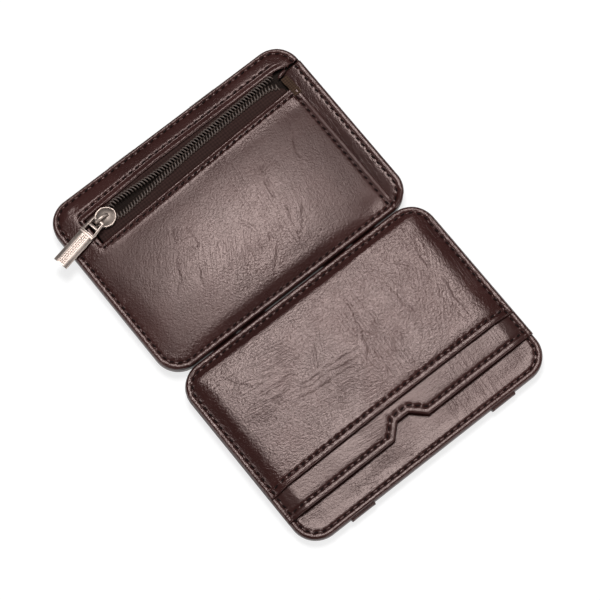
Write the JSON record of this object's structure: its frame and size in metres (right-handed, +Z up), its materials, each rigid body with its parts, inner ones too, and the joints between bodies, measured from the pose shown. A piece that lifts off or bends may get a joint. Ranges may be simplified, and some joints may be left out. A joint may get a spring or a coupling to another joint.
{
  "type": "magic wallet",
  "caption": "Two stitched leather panels held by parallel and crossed straps, opening along either long edge; card slots on one outer face, a zipped coin pocket on the other.",
  "frame": {"origin": "on the table under the middle of the opened wallet, the middle of its bounding box at its lowest point", "axes": "+X along the panels' long side, away from the zip pull; +Y from the card panel towards the coin panel; +Z up, out of the wallet's outer faces"},
  "size_m": [0.1054, 0.1444, 0.0101],
  "materials": {
    "leather": "glossy crinkled",
    "board": "matt",
    "fabric": "woven",
    "teeth": "satin",
    "metal": "polished nickel"
  },
  "bodies": {
    "card_panel": {"card_inner_cover": "leather", "card_board": "board", "card_base_cover": "leather", "notched_card_pocket": "leather", "large_card_pocket": "leather", "parallel_strap_tab_left": "leather", "parallel_strap_tab_right": "leather", "cross_strap_root_left": "leather", "cross_strap_root_right": "leather"},
    "parallel_straps": {"parallel_strap_left": "leather", "parallel_strap_right": "leather"},
    "coin_panel": {"coin_inner_cover": "leather", "coin_board": "board", "pocket_lining": "fabric", "coin_pocket_skin": "leather", "pocket_gusset": "leather", "lower_zip_tape": "fabric", "upper_zip_tape": "fabric", "lower_zip_teeth": "teeth", "upper_zip_teeth": "teeth", "zip_stop": "metal", "cross_strap_tab_left": "leather", "cross_strap_tab_right": "leather", "parallel_strap_root_left": "leather", "parallel_strap_root_right": "leather"},
    "cross_straps": {"cross_strap_left": "leather", "cross_strap_right": "leather"},
    "slider": {"zip_slider": "metal"},
    "pull": {"pull_tab": "metal"}
  },
  "joints": [
    {"name": "far_edge_fold", "type": "hinge", "parent": "card_panel", "child": "parallel_straps", "pos_m": [0.0026, -0.0715, 0.00072], "axis": [-1, 0, 0], "range_deg": [0, 180]},
    {"name": "centre_fold", "type": "hinge", "parent": "parallel_straps", "child": "coin_panel", "pos_m": [0.0026, 0, 0.00072], "axis": [-1, 0, 0], "range_deg": [0, 180]},
    {"name": "coin_edge_fold", "type": "hinge", "parent": "coin_panel", "child": "cross_straps", "pos_m": [0.0026, 0.0715, 0.00072], "axis": [1, 0, 0], "range_deg": [0, 180]},
    {"name": "zip_slide", "type": "slide", "parent": "coin_panel", "child": "slider", "axis": [0.9998, 0.0215, 0], "range_m": [0, 0.0689], "deforming": ["lower_zip_teeth", "upper_zip_teeth", "lower_zip_tape", "upper_zip_tape"]},
    {"name": "pull_swing", "type": "hinge", "parent": "slider", "child": "pull", "pos_m": [-0.0331, 0.05746, 0.00856], "axis": [-0.1839, 0.9829, 0], "range_deg": [0, 150]}
  ],
  "couplings": [
    {"joint": "coin_edge_fold", "follows": "far_edge_fold", "ratio": 1}
  ]
}
